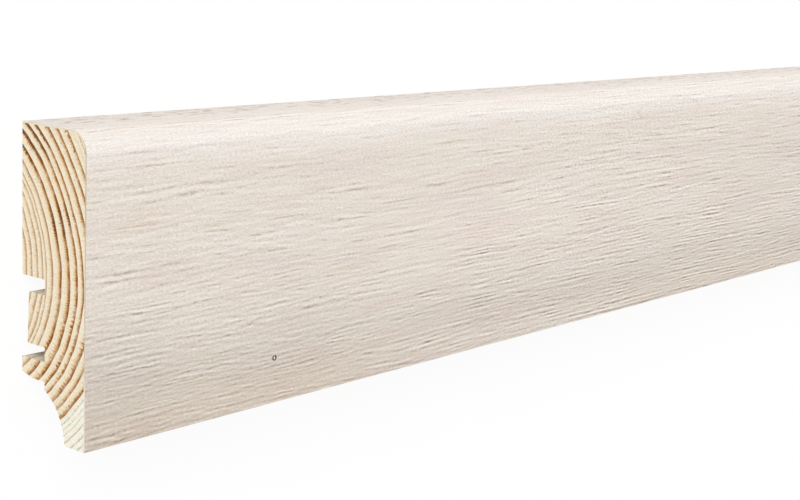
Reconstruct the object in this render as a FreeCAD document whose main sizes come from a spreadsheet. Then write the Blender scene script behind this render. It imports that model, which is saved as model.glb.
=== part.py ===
"""Skirting board length: a moulded pine core with an oak-look veneer wrapped over its face and top.

The board is stored lying on its back, as it would lie on a level floor.
X runs along the length, Y towards the edge that is the top once the board is fitted to a wall,
and Z out of the show face. The origin is midway along the back, at the middle of the height.

The section is drawn once for each piece, on the plane across the length, and padded both ways.
On that plane the first coordinate is the height above the foot of the fitted board,
and the second is the rise above its back. The back carries two grooves for the mounting clips,
a land set back between them, a hooked lip, and a hollow channel for cables behind the foot.
"""

import FreeCAD, Part
import math
import os
import Sketcher

SIZES = (
    ("board_length", 2200.0, "length that the board is sold in"),
    ("board_height", 58.0, "height of the fitted board, foot to top"),
    ("board_thick", 18.0, "back to show face"),
    ("veneer_thick", 0.3, "veneer on the top, the rounded edge and the face"),
    ("front_round", 4.0, "radius of the rounded edge between top and face, outside the veneer"),
    ("foot_width", 5.65, "foot of the board, measured back from the show face"),
    ("channel_height", 9.4, "height of the hollow cable channel above the foot"),
    ("channel_hollow", 1.5, "how far the channel's arc bends in from its chord"),
    ("channel_ledge", 0.3, "small ledge where the channel's arc ends"),
    ("shoulder_height", 1.4, "straight shoulder from the channel up to the lip"),
    ("lip_thick", 3.7, "thickness of the hooked lip at its root"),
    ("lip_bevel_run", 3.2, "bevel under the lip's nose, measured across the board"),
    ("lip_bevel_rise", 0.8, "bevel under the lip's nose, measured up the board"),
    ("groove_depth", 6.6, "depth of both clip grooves from the back"),
    ("lower_groove_width", 2.8, "clip groove above the lip"),
    ("land_height", 9.7, "land between the two grooves"),
    ("land_setback_low", 1.6, "land's distance from the back at its lower edge"),
    ("land_setback_high", 2.0, "land's distance from the back at its upper edge"),
    ("upper_groove_width", 2.9, "clip groove below the plain back"),
)


class Size:
    """A size worked out from the sheet: its number now, and the formula that keeps it up to date."""

    def __init__(self, number, formula):
        self.number = number
        self.formula = formula

    def _join(self, other, sign, number):
        return Size(number, "(%s %s %s)" % (self.formula, sign, as_size(other).formula))

    def __add__(self, other):
        return self._join(other, "+", self.number + as_size(other).number)

    def __sub__(self, other):
        return self._join(other, "-", self.number - as_size(other).number)

    def __mul__(self, other):
        return self._join(other, "*", self.number * as_size(other).number)

    def __truediv__(self, other):
        return self._join(other, "/", self.number / as_size(other).number)


def as_size(value):
    """A plain number as a Size, and a Size as it is."""
    return value if isinstance(value, Size) else Size(value, repr(value))


class Corner:
    """One corner of a section, and the arc that leaves it if the next stretch isn't straight.

    A coordinate of None lies on the axis: the foot's line for the height, the back for the rise.
    The arc's hollow is the distance from the middle of its chord to the middle of the arc,
    counted positive to the left of the way round.
    """

    def __init__(self, name, height, rise, radius=None, hollow=None):
        self.name = name
        self.height = height
        self.rise = rise
        self.radius = radius
        self.hollow = hollow

    def point(self):
        height = self.height.number if self.height else 0.0
        rise = self.rise.number if self.rise else 0.0
        return FreeCAD.Vector(height, rise, 0)


def make_sheet(doc):
    """The sheet of driving dimensions, in millimetres."""
    sheet = doc.addObject("Spreadsheet::Sheet", "Sizes")
    for row, (name, value, note) in enumerate(SIZES, start=1):
        cell = "B%d" % row
        sheet.set("A%d" % row, name.replace("_", " "))
        sheet.set(cell, str(value))
        sheet.setAlias(cell, name)
        sheet.set("C%d" % row, note)
    doc.recompute()
    return {name: Size(float(sheet.get(name)), "Sizes." + name) for name, _, _ in SIZES}


def origin_plane(body, role):
    """One of the body's own origin planes."""
    return next(plane for plane in body.Origin.OriginFeatures if plane.Role == role)


def hold(sketch, kind, items, name, size):
    """Adds a named dimension to the sketch and ties it to the sheet."""
    index = sketch.addConstraint(Sketcher.Constraint(kind, *items, size.number))
    sketch.renameConstraint(index, name)
    sketch.setExpression("Constraints." + name, size.formula)


def stretch_between(corner, following):
    """The straight line or arc from one corner to the next."""
    start = corner.point()
    end = following.point()
    if corner.radius is None:
        return Part.LineSegment(start, end)
    chord = end - start
    left = FreeCAD.Vector(-chord.y, chord.x, 0)
    left.normalize()
    return Part.Arc(start, (start + end) * 0.5 + left * corner.hollow, end)


def draw_section(body, name, corners):
    """A closed outline through the corners, with every corner and arc tied to the sheet."""
    sketch = body.newObject("Sketcher::SketchObject", name)
    sketch.AttachmentSupport = [(origin_plane(body, "YZ_Plane"), "")]
    sketch.MapMode = "FlatFace"
    stretches = [stretch_between(corner, corners[(i + 1) % len(corners)])
                 for i, corner in enumerate(corners)]
    edges = [sketch.addGeometry(stretch, False) for stretch in stretches]

    def vertex_at(edge, point):
        gaps = [(sketch.getPoint(edge, end) - point).Length for end in (1, 2)]
        return 1 if gaps[0] < gaps[1] else 2

    for i, corner in enumerate(corners):
        point = corner.point()
        edge = edges[i]
        before = edges[i - 1]
        vertex = vertex_at(edge, point)
        meeting = Sketcher.Constraint("Coincident", before, vertex_at(before, point), edge, vertex)
        sketch.addConstraint(meeting)
        if corner.height:
            hold(sketch, "DistanceX", (-1, 1, edge, vertex), corner.name + "_height", corner.height)
        else:
            sketch.addConstraint(Sketcher.Constraint("PointOnObject", edge, vertex, -2))
        if corner.rise:
            hold(sketch, "DistanceY", (-1, 1, edge, vertex), corner.name + "_rise", corner.rise)
        else:
            sketch.addConstraint(Sketcher.Constraint("PointOnObject", edge, vertex, -1))
        if corner.radius:
            hold(sketch, "Radius", (edge,), corner.name + "_radius", corner.radius)
    return sketch


def pad_section(doc, label, corners):
    """A body: the section padded both ways along the board, centred on the board's height."""
    body = doc.addObject("PartDesign::Body", label)
    body.Label = label
    sketch = draw_section(body, label + "_section", corners)
    pad = body.newObject("PartDesign::Pad", label + "_length")
    pad.Profile = (sketch, [""])
    pad.SideType = "Symmetric"
    pad.setExpression("Length", "Sizes.board_length")
    body.setExpression("Placement.Base.y", "-Sizes.board_height / 2")
    return body


def quarter_hollow(radius):
    """How far a quarter circle's middle lies from its chord."""
    return radius.number * (1 - math.cos(math.pi / 4))


def core_corners(size):
    """The pine core's section, from the front of the foot round by the back to the face."""
    veneer = size["veneer_thick"]
    face = size["board_thick"] - veneer
    top = size["board_height"] - veneer
    round_start = size["board_thick"] - size["front_round"]
    round_end = size["board_height"] - size["front_round"]
    round_radius = size["front_round"] - veneer

    groove = size["groove_depth"]
    foot_back = size["board_thick"] - size["foot_width"]
    channel_top = size["channel_height"]
    channel_end = groove - size["channel_ledge"]
    run = foot_back - channel_end
    hollow = size["channel_hollow"]
    half_chord_squared = (run * run + channel_top * channel_top) / 4
    channel_radius = (half_chord_squared + hollow * hollow) / (hollow * 2)

    lip_under = channel_top + size["shoulder_height"]
    lip_top = lip_under + size["lip_thick"]
    land_low = lip_top + size["lower_groove_width"]
    land_high = land_low + size["land_height"]
    back_low = land_high + size["upper_groove_width"]
    return (
        Corner("foot_front", None, face),
        Corner("foot_back", None, foot_back, channel_radius, hollow.number),
        Corner("channel_end", channel_top, channel_end),
        Corner("shoulder", channel_top, groove),
        Corner("lip_root", lip_under, groove),
        Corner("lip_bevel", lip_under, size["lip_bevel_run"]),
        Corner("lip_nose", lip_under + size["lip_bevel_rise"], None),
        Corner("lip_back", lip_top, None),
        Corner("lower_groove_low", lip_top, groove),
        Corner("lower_groove_high", land_low, groove),
        Corner("land_low", land_low, size["land_setback_low"]),
        Corner("land_high", land_high, size["land_setback_high"]),
        Corner("upper_groove_low", land_high, groove),
        Corner("upper_groove_high", back_low, groove),
        Corner("back_low", back_low, None),
        Corner("back_top", top, None),
        Corner("round_start", top, round_start, round_radius, -quarter_hollow(round_radius)),
        Corner("round_end", round_end, face),
    )


def veneer_corners(size):
    """The veneer's section: down the face, round the edge and across the top, as one thin strip."""
    veneer = size["veneer_thick"]
    outer_radius = size["front_round"]
    inner_radius = outer_radius - veneer
    round_start = size["board_thick"] - outer_radius
    round_end = size["board_height"] - outer_radius
    under_top = size["board_height"] - veneer
    under_face = size["board_thick"] - veneer
    return (
        Corner("foot_under", None, under_face),
        Corner("inner_end", round_end, under_face, inner_radius, quarter_hollow(inner_radius)),
        Corner("inner_start", under_top, round_start),
        Corner("back_under", under_top, None),
        Corner("back_top", size["board_height"], None),
        Corner("outer_start", size["board_height"], round_start, outer_radius, -quarter_hollow(outer_radius)),
        Corner("outer_end", round_end, size["board_thick"]),
        Corner("foot_face", None, size["board_thick"]),
    )


def check_model(doc, bodies):
    """Stops if a feature failed, a section is loose, or a piece isn't one sound solid."""
    for item in doc.Objects:
        if "Invalid" in item.State or "Error" in item.State:
            raise RuntimeError("%s failed: %s" % (item.Name, item.State))
    for body in bodies:
        for item in body.Group:
            if item.isDerivedFrom("Sketcher::SketchObject") and not item.FullyConstrained:
                raise RuntimeError(item.Name + " isn't held by its dimensions")
        if body.Shape.isNull() or not body.Shape.isValid() or len(body.Shape.Solids) != 1:
            raise RuntimeError(body.Label + " isn't one sound solid")


def main():
    doc = FreeCAD.newDocument("skirting_board")
    size = make_sheet(doc)
    bodies = (
        pad_section(doc, "pine_core", core_corners(size)),
        pad_section(doc, "oak_veneer", veneer_corners(size)),
    )
    doc.recompute()
    check_model(doc, bodies)
    os.makedirs("parts", exist_ok=True)
    for body in bodies:
        body.Shape.exportStep("parts/%s.step" % body.Label)
        print(body.Label, "volume %.0f mm3" % body.Shape.Volume, "box", body.Shape.BoundBox)


main()
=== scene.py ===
"""Looks of the skirting board length: a moulded pine core with an oak veneer, given a liming finish, wrapped
over it.

The board lies on its back on a pale floor. X runs along it, Y towards its top edge and Z out of its face.
Sizes named in millimetres are turned into metres where they are used. Heights count up the fitted board
from its foot, and rises count out from its back, as on the moulder's section drawing.
"""

import math

import bpy
from mathutils import Matrix, Vector


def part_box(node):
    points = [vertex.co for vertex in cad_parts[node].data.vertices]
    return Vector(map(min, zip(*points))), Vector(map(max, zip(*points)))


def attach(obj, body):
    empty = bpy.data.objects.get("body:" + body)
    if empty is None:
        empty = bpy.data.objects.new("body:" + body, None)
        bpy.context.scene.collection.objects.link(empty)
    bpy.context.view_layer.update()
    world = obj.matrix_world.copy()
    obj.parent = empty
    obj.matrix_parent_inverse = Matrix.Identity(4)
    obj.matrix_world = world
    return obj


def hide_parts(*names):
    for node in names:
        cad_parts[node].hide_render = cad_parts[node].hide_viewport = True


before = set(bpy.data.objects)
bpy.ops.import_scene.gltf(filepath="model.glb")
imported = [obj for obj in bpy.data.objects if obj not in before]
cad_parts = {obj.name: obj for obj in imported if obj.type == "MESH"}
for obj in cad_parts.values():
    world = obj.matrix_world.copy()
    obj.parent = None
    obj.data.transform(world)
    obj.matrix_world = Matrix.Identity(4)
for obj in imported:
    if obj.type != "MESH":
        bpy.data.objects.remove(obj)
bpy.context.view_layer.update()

MM = 0.001

# Sizes of the section, in millimetres

core_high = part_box("pine_core")[1]
skin_low, skin_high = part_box("oak_veneer")
NEAR_END = skin_low.x
FOOT = skin_low.y
LENGTH = (skin_high.x - skin_low.x) / MM
HEIGHT = (skin_high.y - skin_low.y) / MM
THICK = (skin_high.z - skin_low.z) / MM
VENEER = (skin_high.z - core_high.z) / MM

FRONT_ROUND = 4.0
FOOT_WIDTH = 5.65
CHANNEL_HEIGHT = 9.4
CHANNEL_HOLLOW = 1.5
CHANNEL_LEDGE = 0.3
SHOULDER_HEIGHT = 1.4
LIP_THICK = 3.7
LIP_BEVEL_RUN = 3.2
LIP_BEVEL_RISE = 0.8
GROOVE_DEPTH = 6.6
LOWER_GROOVE = 2.8
LAND_HEIGHT = 9.7
LAND_SETBACK_LOW = 1.6
LAND_SETBACK_HIGH = 2.0
UPPER_GROOVE = 2.9

LIP_UNDER = CHANNEL_HEIGHT + SHOULDER_HEIGHT
LIP_TOP = LIP_UNDER + LIP_THICK
LAND_LOW = LIP_TOP + LOWER_GROOVE
LAND_HIGH = LAND_LOW + LAND_HEIGHT
BACK_LOW = LAND_HIGH + UPPER_GROOVE

# How finely the pieces are meshed, in millimetres, steps of an arc, and degrees

CORNER_EASE = 0.2
CHANNEL_STEPS = 16
ROUND_STEPS = 12
STRAND = 0.4
VENEER_ROW = 7.0
CORE_ROW = 11.0
HARD_EDGE = 32.0

# The low ripple in the veneer

RIPPLE_DEPTH = 0.05
RIPPLE_LENGTH = 22.0
RIPPLE_WIDTH = 1.3
RIPPLE_SEED = 4.0


# Section outlines

def arc_between(start, end, hollow, steps):
    """Points inside a circular arc. The arc's middle lies hollow to the left of its chord's middle."""
    start = Vector(start)
    end = Vector(end)
    half = (end - start) / 2
    left = Vector((-half.y, half.x)).normalized()
    radius = (half.length_squared + hollow * hollow) / (2 * hollow)
    centre = start + half + left * (hollow - radius)
    turn = (end - centre).angle_signed(start - centre)
    arm = start - centre
    return [tuple(centre + Matrix.Rotation(turn * step / steps, 2) @ arm) for step in range(1, steps)]


def quarter_hollow(radius):
    """How far a quarter circle's middle lies from its chord."""
    return radius * (1 - math.cos(math.pi / 4))


def eased(before, corner, after):
    """A sharp corner softened into a small round of three points."""
    corner = Vector(corner)
    to_before = Vector(before) - corner
    to_after = Vector(after) - corner
    reach = min(CORNER_EASE, to_before.length / 3, to_after.length / 3)
    start = corner + to_before.normalized() * reach
    end = corner + to_after.normalized() * reach
    middle = (start + end) / 4 + corner / 2
    return [tuple(start), tuple(middle), tuple(end)]


def core_outline():
    """The pine core's section as (height, rise) points, from the front of the foot round by the back."""
    face = THICK - VENEER
    top = HEIGHT - VENEER
    foot_back = (0.0, THICK - FOOT_WIDTH)
    channel_end = (CHANNEL_HEIGHT, GROOVE_DEPTH - CHANNEL_LEDGE)
    shoulder = (CHANNEL_HEIGHT, GROOVE_DEPTH)
    round_start = (top, THICK - FRONT_ROUND)
    round_end = (HEIGHT - FRONT_ROUND, face)
    channel = arc_between(foot_back, channel_end, CHANNEL_HOLLOW, CHANNEL_STEPS)
    rounding = arc_between(round_start, round_end, -quarter_hollow(FRONT_ROUND - VENEER), ROUND_STEPS)
    corners = [
        shoulder,
        (LIP_UNDER, GROOVE_DEPTH),
        (LIP_UNDER, LIP_BEVEL_RUN),
        (LIP_UNDER + LIP_BEVEL_RISE, 0.0),
        (LIP_TOP, 0.0),
        (LIP_TOP, GROOVE_DEPTH),
        (LAND_LOW, GROOVE_DEPTH),
        (LAND_LOW, LAND_SETBACK_LOW),
        (LAND_HIGH, LAND_SETBACK_HIGH),
        (LAND_HIGH, GROOVE_DEPTH),
        (BACK_LOW, GROOVE_DEPTH),
        (BACK_LOW, 0.0),
        (top, 0.0),
        round_start,
    ]
    softened = [point for i in range(1, len(corners) - 1)
                for point in eased(corners[i - 1], corners[i], corners[i + 1])]
    hollow = [(0.0, face), foot_back, *channel, channel_end, shoulder]
    return hollow + softened + [round_start, *rounding, round_end]


def veneer_outline():
    """The veneer's section: up its glued side, then back down its outer side in fine steps.

    The second list says which points are free to ripple: those inside the outer side.
    """
    round_start = (HEIGHT, THICK - FRONT_ROUND)
    round_end = (HEIGHT - FRONT_ROUND, THICK)
    inner_start = (HEIGHT - VENEER, THICK - FRONT_ROUND)
    inner_end = (HEIGHT - FRONT_ROUND, THICK - VENEER)
    under = arc_between(inner_end, inner_start, quarter_hollow(FRONT_ROUND - VENEER), ROUND_STEPS)
    glued = [(0.0, THICK - VENEER), inner_end, *under, inner_start, (HEIGHT - VENEER, 0.0)]
    top_steps = round(round_start[1] / STRAND)
    face_steps = round(round_end[0] / STRAND)
    top = [(HEIGHT, round_start[1] * step / top_steps) for step in range(top_steps + 1)]
    bend = arc_between(round_start, round_end, -quarter_hollow(FRONT_ROUND), 2 * ROUND_STEPS)
    face = [(round_end[0] * (1 - step / face_steps), THICK) for step in range(face_steps + 1)]
    shown = top + bend + face
    return glued + shown, [0.0] * (len(glued) + 1) + [1.0] * (len(shown) - 2) + [0.0]


# Sweeping a section along the board

def moulder():
    """Geometry Nodes that run a section's outline along the board and lay a low ripple of grain in it.

    The outline's points carry the value "figured": 1 where the surface may ripple, 0 where it stays put.
    """
    tree = bpy.data.node_groups.new("moulded_length", "GeometryNodeTree")
    sockets = tree.interface
    sockets.new_socket("Outline", in_out="INPUT", socket_type="NodeSocketGeometry")
    for name, kind in (("Length", "Float"), ("Rows", "Int"), ("Ripple Depth", "Float"),
                       ("Ripple Length", "Float"), ("Ripple Width", "Float"), ("Seed", "Float"),
                       ("Finish", "Material")):
        sockets.new_socket(name, in_out="INPUT", socket_type="NodeSocket" + kind)
    sockets.new_socket("Board", in_out="OUTPUT", socket_type="NodeSocketGeometry")
    given = tree.nodes.new("NodeGroupInput")
    result = tree.nodes.new("NodeGroupOutput")

    def add(kind, settings=None, values=None):
        node = tree.nodes.new(kind)
        for name, setting in (settings or {}).items():
            setattr(node, name, setting)
        for name, value in (values or {}).items():
            if isinstance(value, bpy.types.NodeSocket):
                tree.links.new(value, node.inputs[name])
            else:
                node.inputs[name].default_value = value
        return node

    def maths(operation, first, second):
        return add("ShaderNodeMath", {"operation": operation}, {0: first, 1: second}).outputs[0]

    half = maths("MULTIPLY", given.outputs["Length"], 0.5)
    ends = [add("ShaderNodeCombineXYZ", None, {"X": maths("MULTIPLY", half, side)}).outputs[0]
            for side in (-1, 1)]
    line = add("GeometryNodeCurvePrimitiveLine", None, {"Start": ends[0], "End": ends[1]})
    rail = add("GeometryNodeResampleCurve", None, {"Curve": line.outputs[0], "Count": given.outputs["Rows"]})
    outline = add("GeometryNodeMeshToCurve", None, {"Mesh": given.outputs["Outline"]})
    swept = add("GeometryNodeCurveToMesh", None,
                {"Curve": rail.outputs[0], "Profile Curve": outline.outputs[0], "Fill Caps": True})

    place = add("ShaderNodeSeparateXYZ", None, {0: add("GeometryNodeInputPosition").outputs[0]})
    across = maths("SUBTRACT", place.outputs["Y"], place.outputs["Z"])
    stretched = add("ShaderNodeCombineXYZ", None, {
        "X": maths("DIVIDE", place.outputs["X"], given.outputs["Ripple Length"]),
        "Y": maths("DIVIDE", across, given.outputs["Ripple Width"]),
        "Z": given.outputs["Seed"]})
    ripple = add("ShaderNodeTexNoise", None, {"Vector": stretched.outputs[0], "Scale": 1.0, "Detail": 2.0})
    figured = add("GeometryNodeInputNamedAttribute", {"data_type": "FLOAT"}, {"Name": "figured"})
    share = maths("MULTIPLY", figured.outputs[0], given.outputs["Ripple Depth"])
    depth = maths("MULTIPLY", ripple.outputs[0], share)
    inward = add("ShaderNodeVectorMath", {"operation": "SCALE"}, {
        0: add("GeometryNodeInputNormal").outputs[0], "Scale": maths("MULTIPLY", depth, -1.0)})
    rippled = add("GeometryNodeSetPosition", None,
                  {"Geometry": swept.outputs[0], "Offset": inward.outputs[0]})
    real = add("GeometryNodeRealizeInstances", None, {"Geometry": rippled.outputs[0]})
    dressed = add("GeometryNodeSetMaterial", None,
                  {"Geometry": real.outputs[0], "Material": given.outputs["Finish"]})
    tree.links.new(dressed.outputs[0], result.inputs[0])
    return tree


def swept_piece(name, tree, outline, figured, values):
    """A plain mesh: the section's outline run along the board by the tree, with its hard edges marked."""
    mesh = bpy.data.meshes.new(name + "_outline")
    points = [(-(FOOT + height * MM), -rise * MM, 0.0) for height, rise in outline]
    mesh.from_pydata(points, [(i, (i + 1) % len(points)) for i in range(len(points))], [])
    mesh.attributes.new("figured", "FLOAT", "POINT").data.foreach_set("value", figured)
    former = bpy.data.objects.new(name + "_outline", mesh)
    bpy.context.scene.collection.objects.link(former)
    modifier = former.modifiers.new("sweep", "NODES")
    modifier.node_group = tree
    for socket in tree.interface.items_tree:
        if socket.name in values:
            modifier[socket.identifier] = values[socket.name]
    swept = bpy.data.meshes.new_from_object(former.evaluated_get(bpy.context.evaluated_depsgraph_get()))
    swept.name = name
    bpy.data.objects.remove(former)
    swept.shade_smooth()
    swept.set_sharp_from_angle(angle=math.radians(HARD_EDGE))
    piece = bpy.data.objects.new(name, swept)
    bpy.context.scene.collection.objects.link(piece)
    return piece


# Making a finish

def paint(red, green, blue):
    """A colour as it shows on screen, from 0 to 255, turned into the light that it stands for."""
    def light(value):
        value /= 255
        return value / 12.92 if value <= 0.04045 else ((value + 0.055) / 1.055) ** 2.4
    return (light(red), light(green), light(blue), 1.0)


class Wire:
    """One value or colour in a finish. Sums and products of wires add the Math nodes that work them out."""

    def __init__(self, finish, socket):
        self.finish = finish
        self.socket = socket

    def __add__(self, other):
        return self.finish.maths("ADD", self, other)

    def __sub__(self, other):
        return self.finish.maths("SUBTRACT", self, other)

    def __rsub__(self, other):
        return self.finish.maths("SUBTRACT", other, self)

    def __mul__(self, other):
        return self.finish.maths("MULTIPLY", self, other)

    def __truediv__(self, other):
        return self.finish.maths("DIVIDE", self, other)

    __radd__ = __add__
    __rmul__ = __mul__


class Finish:
    """A material being made, node by node."""

    def __init__(self, name):
        self.material = bpy.data.materials.new(name)
        self.material.use_nodes = True
        self.tree = self.material.node_tree
        self.tree.nodes.clear()

    def node(self, kind, settings=None, values=(), output=0):
        """Adds a node, sets it up, feeds its sockets, and returns one of its outputs."""
        node = self.tree.nodes.new(kind)
        for name, setting in (settings or {}).items():
            if name == "stops":
                lay_stops(node.color_ramp, setting)
            elif name == "points":
                lay_points(node.mapping, setting)
            else:
                setattr(node, name, setting)
        pairs = values.items() if isinstance(values, dict) else enumerate(values)
        for name, value in pairs:
            if isinstance(value, Wire):
                self.tree.links.new(value.socket, node.inputs[name])
            else:
                node.inputs[name].default_value = value
        return None if output is None else Wire(self, node.outputs[output])

    def maths(self, operation, *values):
        return self.node("ShaderNodeMath", {"operation": operation}, values)

    def parts(self, vector):
        return [self.node("ShaderNodeSeparateXYZ", None, [vector], output=axis) for axis in range(3)]

    def place(self):
        """Where a point lies, in mm: along from the near end, up from the foot, out from the back."""
        x, y, z = self.parts(self.node("ShaderNodeTexCoord", output="Object"))
        return (x - NEAR_END) / MM, (y - FOOT) / MM, z / MM

    def facing(self):
        """Which way the surface faces, as its lean towards each axis of the board."""
        return self.parts(self.node("ShaderNodeTexCoord", output="Normal"))

    def noise(self, x, y, z, detail=2.0, roughness=0.5):
        """Soft noise around 0, with cells one unit wide in each direction."""
        place = self.node("ShaderNodeCombineXYZ", None, (x, y, z))
        values = {"Vector": place, "Scale": 1.0, "Detail": detail, "Roughness": roughness}
        return self.node("ShaderNodeTexNoise", {"noise_dimensions": "3D"}, values) - 0.5

    def curve(self, value, points):
        """A value from 0 to 1, led through the points (x, y) by straight runs."""
        return self.node("ShaderNodeFloatCurve", {"points": points}, {"Value": value})

    def step(self, value, low, high):
        """0 below low, 1 above high, and a smooth change between them. It falls if low is above high."""
        bounds = {"From Min": min(low, high), "From Max": max(low, high)}
        settings = {"interpolation_type": "SMOOTHSTEP"}
        rising = self.node("ShaderNodeMapRange", settings, {"Value": value, **bounds})
        return rising if low < high else 1 - rising

    def blend(self, share, first, second, how="MIX"):
        settings = {"data_type": "RGBA", "blend_type": how}
        return self.node("ShaderNodeMix", settings, {0: share, 6: first, 7: second}, output=2)

    def tint(self, colour, by, share=1.0):
        """A colour multiplied by another."""
        return self.blend(share, colour, by, "MULTIPLY")

    def ramp(self, value, stops):
        return self.node("ShaderNodeValToRGB", {"stops": stops}, [value])

    def grey(self, value):
        """A value as a colour, for multiplying another colour by it."""
        return self.node("ShaderNodeCombineColor", None, (value, value, value))

    def bump(self, height, depth):
        """A relief, as deep in millimetres as its height runs from 0 to 1."""
        return self.node("ShaderNodeBump", None, {"Height": height, "Distance": depth * MM, "Strength": 1.0})

    def surface(self, colour, relief, roughness, gloss):
        values = {"Base Color": colour, "Normal": relief, "Roughness": roughness, "Specular IOR Level": gloss}
        self.output(self.node("ShaderNodeBsdfPrincipled", None, values))
        return self.material

    def output(self, shader):
        self.node("ShaderNodeOutputMaterial", None, {"Surface": shader}, output=None)


def lay_stops(ramp, stops):
    """Sets a colour ramp's stops, given as (position, colour)."""
    while len(ramp.elements) > 1:
        ramp.elements.remove(ramp.elements[-1])
    for i, (position, colour) in enumerate(stops):
        element = ramp.elements[0] if i == 0 else ramp.elements.new(position)
        element.position = position
        element.color = colour


def lay_points(mapping, points):
    """Sets a curve's points, given as (x, y), with straight runs between them."""
    curve = mapping.curves[0]
    while len(curve.points) < len(points):
        curve.points.new(1.0, 1.0)
    for point, spot in zip(curve.points, points):
        point.location = spot
        point.handle_type = "VECTOR"
    mapping.update()


# Pine: where its growth rings lie, in millimetres, and its colours

RING_STARTS = -6.0
RING_WIDTHS = (2.2, 1.9, 1.8, 1.6, 1.5, 1.7, 1.4, 0.9, 1.75, 2.4, 2.4, 2.05,
               1.65, 2.3, 2.05, 2.25, 1.35, 1.2, 1.1, 1.55, 2.05, 1.6, 1.6)
RING_SPAN = 42.0
PITH_LEVEL = 31.0
PITH_BEHIND = 21.0
RING_BOW = 2.4
RING_FLATTENING = 0.65
RING_SPREAD = 0.18
RING_SKEW = 0.075
RING_SAG = 0.023
RING_LEAN = 0.167
RING_EASING = 0.98
FADING_RING = 25.0
STRENGTH_SPAN = 36.0

# Dark patches of the cut end: height, rise and radius

STAINS = ((55.2, 3.4, 6.5), (41.2, 11.0, 4.5))

LATE_WOOD_STRENGTH = (
    (0.0, 0.55), (0.2, 0.6), (0.25, 0.75), (0.3, 1.0), (0.4, 1.0), (0.5, 0.9), (0.67, 0.9), (0.7, 0.6),
    (0.73, 0.4), (0.77, 0.4), (0.8, 0.7), (0.86, 0.6), (1.0, 0.5))
EARLY_WOOD = (
    (0.0, paint(244, 232, 211)), (0.3, paint(241, 229, 206)), (0.7, paint(238, 223, 198)),
    (1.0, paint(232, 214, 184)))
LATE_WOOD = (
    (0.0, paint(244, 232, 211)), (0.4, paint(240, 225, 199)), (0.56, paint(235, 212, 178)),
    (0.68, paint(218, 176, 120)), (0.76, paint(184, 126, 60)), (0.84, paint(140, 82, 22)),
    (0.95, paint(128, 72, 14)), (1.0, paint(146, 94, 38)))
PINE_HUES = ((0.25, paint(255, 241, 224)), (0.5, paint(252, 252, 251)), (0.75, paint(238, 254, 255)))
# Torn fibre of the grooves' lower flanks, painted pale as painted light against the shade inside the grooves
TORN_FIBRE_AND_PAINTED_LIGHT = (
    (0.3, paint(176, 150, 118)), (0.42, paint(226, 213, 190)), (0.58, paint(242, 234, 216)),
    (0.75, paint(252, 249, 240)))
SAPWOOD = paint(245, 244, 233)
SAPWOOD_RING = paint(176, 162, 128)
STAINED_RING = paint(84, 44, 18)
RESIN = paint(140, 96, 54)


def ring_reach(height, rise):
    """How far out a growth ring lies, told by where it would cross the pith's level, in mm from the back."""
    up = (height - PITH_LEVEL) / 10
    out = rise / 10
    bow = RING_BOW - RING_FLATTENING * out + RING_SPREAD * out * out
    return rise * RING_EASING + up * up * (bow - up * (RING_SKEW + RING_SAG * up)) + RING_LEAN * up * out


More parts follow.
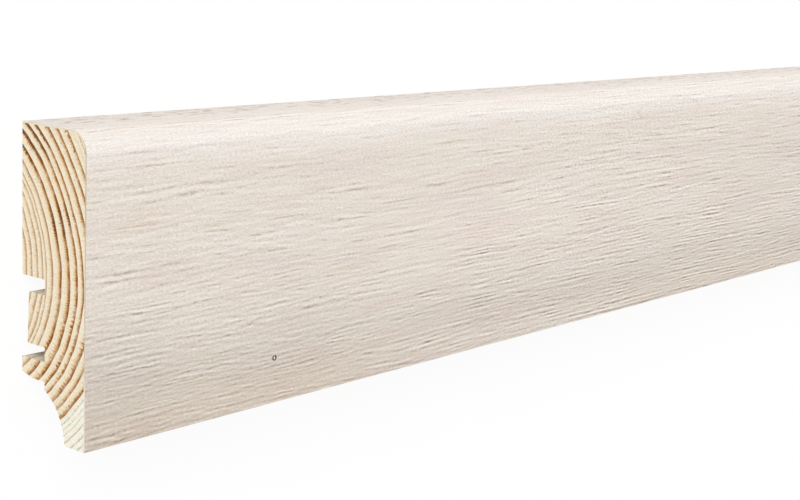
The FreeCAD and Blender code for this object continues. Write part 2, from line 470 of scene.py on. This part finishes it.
class PlanedPine(Finish):
    """Planed and sawn pine: growth rings on the cut ends, which run on as long grain over the other faces."""

    def __init__(self):
        super().__init__("planed_pine")
        self.along, self.height, self.rise = self.place()
        self.reach = self.wandering_reach()
        first, second = [self.spot(*place) for place in STAINS]
        self.stain = (first + second) * self.step(self.along, 60, 4)
        self.season = self.ring_season()
        self.dark_line = self.step(self.season, 0.72, 0.86)
        self.fibre = self.noise(self.along / 14, self.height / 0.4, self.rise / 0.4, roughness=0.7)

    def wandering_reach(self):
        """How far out the ring at a point lies. The rings wander slowly as they run along the board."""
        sway = self.maths("SINE", self.along / 75) * 2.4
        drift = self.maths("SINE", self.along / 50) * 1.6
        wobble = self.noise(self.along / 130, self.height / 5, self.rise / 5)
        return ring_reach(self.height + sway, self.rise + drift) + wobble * 0.6

    def spot(self, at_height, at_rise, radius):
        """1 in the middle of a soft round patch of the section, and 0 outside it."""
        up = self.height - at_height
        out = self.rise - at_rise
        return self.step(up * up + out * out, radius * radius, 0.0)

    def years_grown(self):
        """How many years' growth lies inside a point, counted from the first ring."""
        edges = [RING_STARTS]
        for width in RING_WIDTHS:
            edges.append(edges[-1] + width)
        years = len(RING_WIDTHS)
        points = [((edge - RING_STARTS) / RING_SPAN, year / years) for year, edge in enumerate(edges)]
        return self.curve((self.reach - RING_STARTS) / RING_SPAN, points) * years

    def ring_season(self):
        """The time of year that a point grew in: 0 where a ring starts, 1 where it ends, frayed a little."""
        turn = self.maths("ARCTAN2", self.height - PITH_LEVEL, self.rise + PITH_BEHIND) * 40
        rays = self.noise(self.along / 9, turn / 0.26, self.reach / 1.6, roughness=0.6)
        low = self.step(self.height, 30, 24)
        fringe = self.noise(self.along / 60, turn / 7, self.reach / 4, detail=1.0) + low * 0.12
        fringed = self.step(fringe, -0.08, 0.18)
        season = self.maths("FRACT", self.years_grown())
        season = season + rays * (0.2 + fringed * 0.8) * (1 + low * 0.5)
        return season + self.stain * self.step(season, 0.4, 0.7) * 0.1

    def late_wood_strength(self):
        """How strongly the late wood shows: less in patches, and one ring fades out up the board."""
        strong = self.curve(self.reach / STRENGTH_SPAN, LATE_WOOD_STRENGTH)
        patch = self.noise(self.along / 50, self.height / 3.0, self.rise / 3.0, detail=3.0, roughness=0.6)
        from_ring = self.reach - FADING_RING
        faded = self.step(self.height, 20, 30) * self.step(from_ring * from_ring, 0.8, 0.4)
        return strong * self.step(patch, -0.45, 0.1) * (1 - faded)

    def rings(self):
        """The colour of the rings, paler in the sapwood of the toe and darker in the stained patches."""
        strong = self.late_wood_strength()
        colour = self.blend(strong, self.ramp(self.season, EARLY_WOOD), self.ramp(self.season, LATE_WOOD))
        toe = self.step(self.reach, 23.6, 24.8) * self.step(self.height, 18, 13)
        sapwood = self.blend(self.dark_line * strong, SAPWOOD, SAPWOOD_RING)
        colour = self.blend(toe * 0.85, colour, sapwood)
        return self.blend(self.stain * self.dark_line * 0.65, colour, STAINED_RING)

    def resin_canals(self):
        """1 in the fine canals scattered over the later part of each ring."""
        cell = self.node("ShaderNodeCombineXYZ", None, (self.along / 12, self.height / 1.1, self.rise / 1.1))
        cells = {"Vector": cell, "Scale": 1.0}
        gap = self.node("ShaderNodeTexVoronoi", None, cells)
        chance = self.node("ShaderNodeTexVoronoi", None, cells, output="Color")
        chance = self.node("ShaderNodeSeparateColor", None, [chance])
        return self.step(gap, 0.2, 0.1) * self.step(chance, 0.66, 0.7) * self.step(self.season, 0.2, 0.5)

    def make(self):
        """The finished material."""
        cloud = self.noise(self.along / 90, self.height / 2.6, self.rise / 2.6)
        hue = self.noise(self.along / 14, self.height / 0.7, self.rise / 0.7)
        colour = self.tint(self.rings(), self.grey(1.045 + self.fibre * 0.6 + cloud * 0.12))
        colour = self.tint(colour, self.ramp(hue + 0.5, PINE_HUES))
        colour = self.blend(self.resin_canals() * 0.6, colour, RESIN)

        flank = self.step(self.facing()[1], 0.5, 0.8) * self.step(self.height, LAND_HIGH + 1, LAND_HIGH + 0.5)
        torn = self.noise(self.along / 2.2, self.height / 0.5, self.rise / 0.45, detail=3.0, roughness=0.65)
        # Lower flanks of the grooves: torn fibre, painted pale as painted light against the grooves' shade
        colour = self.blend(flank * 0.85, colour, self.ramp(torn + 0.5, TORN_FIBRE_AND_PAINTED_LIGHT))
        relief = self.bump(self.fibre * 0.8 - self.dark_line * 0.2 + flank * torn * 2.0, 0.12)
        return self.surface(colour, relief, roughness=0.7, gloss=0.12)


# Oak veneer: places and sizes on the face, in millimetres, and its colours

# Long open pores: start and end along the board, height on the face, and slope

LONG_PORES = (
    (0.0, 6.5, 62.6, 0.0), (0.0, 24.0, 51.0, 0.0), (5.0, 18.0, 40.1, 0.0),
    (43.0, 58.0, 37.9, -0.01), (118.0, 140.0, 14.7, 0.02), (151.0, 168.0, 29.6, -0.02),
    (162.0, 176.0, 26.4, -0.03), (187.0, 213.0, 12.2, 0.0), (192.0, 210.0, 21.9, 0.0),
    (202.0, 215.0, 30.8, -0.04), (0.0, 21.0, 20.4, -0.02), (56.0, 65.0, 20.0, 0.0),
    (50.0, 68.0, 11.7, 0.0), (33.0, 44.0, 6.8, 0.0), (108.0, 121.0, 46.4, 0.0),
    (112.0, 141.0, 22.5, 0.02), (129.0, 140.0, 20.8, 0.03), (155.0, 176.0, 22.6, 0.02),
    (170.0, 201.0, 43.8, 0.0), (113.0, 130.0, 10.7, 0.0), (207.0, 225.0, 22.0, 0.0),
    (217.0, 230.0, 30.5, 0.01))

# Loops of figure: middle along the board, height on the face, and half of its length and height

LOOPS = ((146.0, 48.0, 6.2, 3.3), (195.5, 51.6, 15.5, 3.2))

CURL_ALONG = 27.0
CURL_HEIGHT = 41.0
CURL_HALF_LENGTH = 15.0
CURL_HALF_HEIGHT = 8.0
KNOT_ALONG = 48.25
KNOT_HEIGHT = 9.32
KNOT_RADIUS = 0.52
STROKE_WIDTH = 0.7
STROKE_GAP = 0.45
STRETCH_STARTS = 80.0
STRETCH_SHARE = 0.35

STROKES_UP_THE_FACE = (
    (0.0, 1.18), (0.15, 1.07), (0.4, 0.87), (0.6, 0.62), (0.86, 0.43), (0.9, 0.31), (0.98, 0.35), (1.0, 0.9))
# Lightness of the ground up the face: darker towards the foot, a painted highlight just below the rounded
# edge and painted shade over the round
LEVEL_AND_PAINTED_LIGHT_UP_THE_FACE = (
    (0.0, 0.70), (0.03, 0.75), (0.2, 0.77), (0.35, 0.85), (0.5, 0.89), (0.82, 0.91), (0.89, 0.94),
    (0.945, 0.96), (0.96, 0.88), (0.975, 0.81), (1.0, 0.76))
# Lightness of the top side from the back: a painted highlight growing towards the rounded edge
LEVEL_AND_PAINTED_LIGHT_ACROSS_THE_TOP = (
    (0.0, 0.83), (0.11, 0.84), (0.22, 0.86), (0.33, 0.9), (0.45, 0.915), (0.55, 0.915), (0.67, 0.925),
    (0.78, 0.94), (1.0, 0.92))
OAK_GROUND = (
    (0.3, paint(238, 226, 217)), (0.45, paint(240, 230, 219)), (0.56, paint(242, 233, 222)),
    (0.72, paint(242, 234, 224)))
OAK_HUES = ((0.25, paint(253, 249, 246)), (0.5, paint(255, 255, 255)), (0.75, paint(253, 254, 250)))
FOOT_TINT = paint(255, 252, 248)
SMUDGE = paint(176, 158, 142)
# White of the painted highlight along the rounded edge
PAINTED_EDGE_HIGHLIGHT = paint(246, 242, 238)
KNOT_BARK = (
    (0.1, paint(58, 52, 48)), (0.36, paint(92, 84, 78)), (0.5, paint(168, 160, 150)),
    (0.66, paint(76, 68, 62)), (0.9, paint(40, 36, 33)))
# White of the painted highlight in the middle of the knot
KNOT_HIGHLIGHT = paint(250, 247, 243)
CUT_EDGE = (
    (0.0, paint(236, 229, 212)), (0.19, paint(236, 229, 212)), (0.26, paint(206, 196, 175)),
    (0.6, paint(204, 194, 173)), (0.75, paint(190, 180, 160)), (0.95, paint(198, 190, 172)),
    (0.975, paint(228, 218, 196)))


class LimedOak(Finish):
    """Brushed oak veneer with a liming finish: long fine pores, each with a painted highlight beside it, over
    an even pale ground.
    """

    def __init__(self):
        super().__init__("limed_oak")
        self.along, self.height, self.rise = self.place()
        self.flat = self.height - self.rise
        self.girth = self.flat + THICK
        self.run = self.along - self.maths("MAXIMUM", self.along - STRETCH_STARTS, 0.0) * STRETCH_SHARE
        self.upper = self.step(self.height, 18, 34)
        self.top_side = self.step(self.rise, 17.4, 15.6)
        self.away = self.step(self.along, 40, 105) * (1 - self.step(self.along, 150, 200) * 0.4)
        self.patch = self.noise(self.along / 26, self.flat / 5, 12.0)
        self.wiggle = self.noise(self.along / 8, self.flat / 3, 8.0, detail=4.0, roughness=0.6)
        self.across = self.wavy_across()
        self.dash = self.noise(self.run / 1.5, self.across / 0.8, 41.0, detail=1.0)

    def wavy_across(self):
        """Where a point lies across the grain, which sways along the board and curls at one spot."""
        calm = 1 - self.step(self.along, 70, 150) * 0.6
        sway = self.noise(self.along / 110, self.flat / 25, 3.0, detail=1.0)
        curl_along = (self.along - CURL_ALONG) / CURL_HALF_LENGTH
        curl_height = (self.height - CURL_HEIGHT) / CURL_HALF_HEIGHT
        curl = self.step(curl_along * curl_along + curl_height * curl_height, 1.0, 0.0) * 3
        return self.flat + (sway * 6 + self.wiggle * 0.5) * calm + self.wiggle * 0.5 * curl

    def strokes(self, length, seed, width=1.0):
        """Dark strokes along the grain, each between two paler ones painted as highlights on the pore walls:
        even on the whole, and around 0.
        """
        here, above, below = [
            self.noise(self.run / length, (self.across / width + shift) / STROKE_WIDTH, seed, detail=1.0)
            for shift in (0.0, STROKE_GAP, -STROKE_GAP)]
        # The dark stroke is the pore; the paler strokes either side are painted highlight.
        return above + below - here * 2

    def strands(self):
        """Short, long and broad strokes together, in bundles that start and stop along the grain."""
        fine = (self.strokes(15.0, 5.0) + self.strokes(4.5, 17.0)) * (1 - self.upper * 0.3)
        broad = self.strokes(9.0, 31.0, 1.6) * self.upper * 0.85
        bundle = self.noise(self.run / 9, self.across / 1.8, 45.0)
        strand = (fine + broad) * (1 + self.dash * 2.2) * (1 + bundle * 2.0)
        return self.maths("MINIMUM", strand, 0.7 - self.upper * 0.15)

    def crowding(self):
        """How strongly the strokes show: most near the foot, and least along the rounded edge."""
        crowd = self.curve(self.height / HEIGHT, STROKES_UP_THE_FACE)
        return crowd * (1 + self.patch * 2.2) * (1 + self.step(self.along, 95, 200) * 0.4)

    def grit(self):
        """Fine unevenness between the strokes, with more of it away from the near end."""
        grit = self.noise(self.along / 0.7, self.across / 0.25, 30.0, detail=1.0)
        crackle = self.noise(self.along / 0.8, self.across / 0.4, 33.0, detail=1.0)
        share = self.step(self.along, 70, 170) * (1.0 + self.step(self.patch, -0.12, 0.2) * 0.5)
        return grit + crackle * share

    def pore(self, start, end, at_height, slope):
        """1 along one long open pore, which tapers off at both ends, and below 0 along a painted highlight
        just beneath it.
        """
        gap = self.girth - at_height - (self.along - start) * slope + self.wiggle * 0.8
        reach = self.step(self.along, start, start + 3) * self.step(self.along, end, end - 4)
        # Painted highlight: a paler line just beneath the pore
        below = gap + STROKE_GAP
        return reach * (self.step(gap * gap, 0.06, 0.0) - self.step(below * below, 0.05, 0.0) * 0.4)

    def long_pores(self):
        pores = self.pore(*LONG_PORES[0])
        for mark in LONG_PORES[1:]:
            pores = pores + self.pore(*mark)
        return pores

    def loop(self, middle, at_height, half_length, half_height):
        """1 along the closed line of one loop of figure."""
        out = (self.along - middle) / half_length
        up = (self.height - at_height + self.wiggle * 2.5) / half_height
        gap = (self.maths("SQRT", out * out + up * up) - 1) * half_height
        return self.step(gap * gap, 0.06, 0.0)

    def light(self):
        """How light the ground is, on the face and on the top side: darker towards the foot, with a painted
        highlight on the face just below the round, painted shade over the round itself, and a painted
        highlight on the top side growing towards the round.
        """
        along = self.along
        height = self.height
        low = self.step(height, 30, 20) * 0.035 + self.step(height, 7, 2) * 0.045
        dusk = self.step(along, 190, 250) * self.step(height, 18, 30) * self.step(height, 46, 38)
        dim_start = self.step(along, 26, 12) * self.step(height, 27, 18)
        bright_band = self.step(along, 70, 105) * self.step(along, 160, 130) * self.step(height, 19, 26)
        bright_band = bright_band * self.step(height, 39, 33)
        # Painted highlight below the round and painted shade over it, from the curve up the face
        face = self.curve(height / HEIGHT, LEVEL_AND_PAINTED_LIGHT_UP_THE_FACE) * (1 + self.away * low)
        face = face * (1 - dusk * 0.04 - dim_start * 0.03 + bright_band * 0.035)
        # Painted highlight on the top side, growing towards the round
        top = self.curve(self.rise / THICK, LEVEL_AND_PAINTED_LIGHT_ACROSS_THE_TOP)
        return face + (top - face) * self.top_side

    def ground(self):
        """The colour between the strokes, with the smudges of the top side and a painted highlight whitening
        the round.
        """
        mottle = self.noise(self.along / 45, self.flat / 7, 20.0, detail=3.0)
        light = self.light()
        tone = self.node("ShaderNodeCombineColor", None, (light, light * 1.06 - 0.063, light * 1.15 - 0.14))
        colour = self.tint(self.ramp(mottle + 0.5, OAK_GROUND), tone)
        hue = self.noise(self.along / 22, self.flat / 4.2, 50.0) * (1 - self.step(self.along, 120, 180) * 0.4)
        colour = self.tint(colour, self.ramp(hue + 0.5, OAK_HUES))
        warmth = self.step(self.height, 14, 1) * (1 - self.away * 0.8)
        colour = self.tint(colour, FOOT_TINT, warmth)
        smudge = self.step(self.noise(self.along / 4, self.rise / 1.3, 77.0, detail=3.0), 0.05, 0.11)
        smudge = smudge * self.top_side * self.step(self.rise, 11, 7)
        colour = self.blend(smudge * 0.9, colour, SMUDGE)
        # Painted highlight: the ground is whitened along the rounded edge, less on its top side.
        edge_highlight = self.step(self.height, 49.5, 55.0) * (0.5 - self.top_side * 0.35)
        return self.blend(edge_highlight, colour, PAINTED_EDGE_HIGHLIGHT)

    def with_knot(self, colour, on_face):
        """The colour with the pin knot in it: a dark ring of bark round a painted highlight in its middle."""
        along = self.along - KNOT_ALONG
        height = self.height - KNOT_HEIGHT
        gap = self.maths("SQRT", along * along + height * height)
        disc = self.step(gap, KNOT_RADIUS + 0.2, KNOT_RADIUS)
        # The knot's pale middle is a painted highlight.
        knot = self.blend(self.step(gap, 0.28, 0.14), self.ramp(along / 1.4 + 0.5, KNOT_BARK), KNOT_HIGHLIGHT)
        return self.blend(disc * on_face, colour, knot)

    def make(self):
        """The finished material."""
        strand = self.strands()
        open_pore = self.step(strand, -0.35, -0.9)
        crowd = self.crowding()
        long_pore = self.long_pores()
        figure = self.loop(*LOOPS[0]) + self.loop(*LOOPS[1])
        broken = self.step(self.dash, -0.2, 0.15)
        drift = self.noise(self.along / 11, self.flat / 2.4, 70.0)
        shade = 1 + strand * 0.28 * crowd - open_pore * crowd * (0.04 + self.upper * 0.12)
        shade = shade + self.grit() * 0.6 + drift * 0.1
        shade = shade - long_pore * (0.04 + broken * 0.18) - figure * broken * 0.08
        browned = self.node("ShaderNodeCombineColor", None, (shade * 0.89 + 0.11, shade, shade * 1.09 - 0.09))
        colour = self.tint(self.ground(), browned)

        to_end, _, to_face = self.facing()
        colour = self.with_knot(colour, self.step(to_face, 0.8, 0.95))
        cut = self.step(to_end * to_end, 0.4, 0.6)
        colour = self.blend(cut, colour, self.ramp(self.height / HEIGHT, CUT_EDGE))
        relief = self.bump(0.5 + strand * 0.3 - open_pore * 0.3 - long_pore * 0.5, 0.06)
        return self.surface(colour, relief, roughness=0.5, gloss=0.5)


# Studio

CAMERA_FROM_CORNER = Vector((-179.087, 93.910, 219.260))
CAMERA_YAW = -50.426
CAMERA_PITCH = -11.022
CAMERA_ROLL = 2.650
LENS = 72.869
FILM_WIDTH = 36.0
FLOOR_SIZE = 40.0
FLOOR_PAINT = (0.62, 0.62, 0.62, 1.0)
FLOOR_GLOW = 0.93
SKY_LIGHT = 0.60
SKY_SEEN = 1.0
KEY = 0.67
KEY_FROM = Vector((-0.58, 0.57, 0.58))
KEY_SPREAD = 35.0
WHITE = (1.0, 1.0, 1.0, 1.0)


def make_camera():
    """The camera, placed from the near corner of the face and the foot."""
    data = bpy.data.cameras.new("camera")
    data.lens = LENS
    data.sensor_width = FILM_WIDTH
    data.clip_start = 0.01
    data.clip_end = 100.0
    camera = bpy.data.objects.new("camera", data)
    corner = Vector((NEAR_END, FOOT, skin_high.z))
    turn = (Matrix.Rotation(math.radians(CAMERA_YAW), 4, "Y")
            @ Matrix.Rotation(math.radians(CAMERA_PITCH), 4, "X")
            @ Matrix.Rotation(math.radians(CAMERA_ROLL), 4, "Z"))
    camera.matrix_world = Matrix.Translation(corner + CAMERA_FROM_CORNER * MM) @ turn
    bpy.context.scene.collection.objects.link(camera)
    bpy.context.scene.camera = camera


def make_floor():
    """A pale floor: white to the camera and in reflections, with a faint soft shadow under the board."""
    finish = Finish("studio_floor")
    by_camera, by_gloss, by_glass = [finish.node("ShaderNodeLightPath", output=name)
                                     for name in ("Is Camera Ray", "Is Glossy Ray", "Is Transmission Ray")]
    seen = finish.maths("MAXIMUM", finish.maths("MAXIMUM", by_camera, by_gloss), by_glass)
    matt = finish.node("ShaderNodeBsdfDiffuse", None, {"Color": FLOOR_PAINT})
    shadowed = finish.node("ShaderNodeBsdfDiffuse", None, {"Color": WHITE})
    glow = finish.node("ShaderNodeEmission", None, {"Color": WHITE, "Strength": 1.0})
    shown = finish.node("ShaderNodeMixShader", None, (FLOOR_GLOW, shadowed, glow))
    finish.output(finish.node("ShaderNodeMixShader", None, (seen, matt, shown)))
    half = FLOOR_SIZE / 2
    corners = [(-half, -half, 0), (half, -half, 0), (half, half, 0), (-half, half, 0)]
    mesh = bpy.data.meshes.new("floor")
    mesh.from_pydata(corners, [], [(0, 1, 2, 3)])
    mesh.materials.append(finish.material)
    floor = bpy.data.objects.new("floor", mesh)
    bpy.context.scene.collection.objects.link(floor)


def make_sky():
    """An even white sky: dim enough to light the board softly, and plain white where the camera sees it."""
    world = bpy.data.worlds.new("studio")
    world.use_nodes = True
    tree = world.node_tree
    tree.nodes.clear()
    rays = tree.nodes.new("ShaderNodeLightPath")
    mixed = tree.nodes.new("ShaderNodeMixShader")
    shown = tree.nodes.new("ShaderNodeOutputWorld")
    for place, strength in ((1, SKY_LIGHT), (2, SKY_SEEN)):
        sky = tree.nodes.new("ShaderNodeBackground")
        sky.inputs["Color"].default_value = WHITE
        sky.inputs["Strength"].default_value = strength
        tree.links.new(sky.outputs[0], mixed.inputs[place])
    tree.links.new(rays.outputs["Is Camera Ray"], mixed.inputs[0])
    tree.links.new(mixed.outputs[0], shown.inputs[0])
    bpy.context.scene.world = world


def make_lamp():
    """One large soft lamp above the near end and the top edge."""
    lamp = bpy.data.lights.new("key", "SUN")
    lamp.energy = KEY * math.pi
    lamp.angle = math.radians(KEY_SPREAD)
    key = bpy.data.objects.new("key", lamp)
    key.rotation_euler = KEY_FROM.to_track_quat("Z", "Y").to_euler()
    bpy.context.scene.collection.objects.link(key)


# The board

tree = moulder()
core = core_outline()
core_piece = swept_piece("moulded_pine_core", tree, core, [0.0] * len(core), {
    "Length": LENGTH * MM, "Rows": round(LENGTH / CORE_ROW) + 1, "Finish": PlanedPine().make()})
skin, figured = veneer_outline()
skin_piece = swept_piece("wrapped_oak_veneer", tree, skin, figured, {
    "Length": LENGTH * MM, "Rows": round(LENGTH / VENEER_ROW) + 1, "Ripple Depth": RIPPLE_DEPTH * MM,
    "Ripple Length": RIPPLE_LENGTH * MM, "Ripple Width": RIPPLE_WIDTH * MM, "Seed": RIPPLE_SEED,
    "Finish": LimedOak().make()})

for piece, node, slot in ((core_piece, "pine_core", "pine"), (skin_piece, "oak_veneer", "oak_veneer")):
    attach(piece, "root")
    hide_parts(node)

make_floor()
make_sky()
make_lamp()
make_camera()
bpy.context.scene.view_settings.view_transform = "Standard"
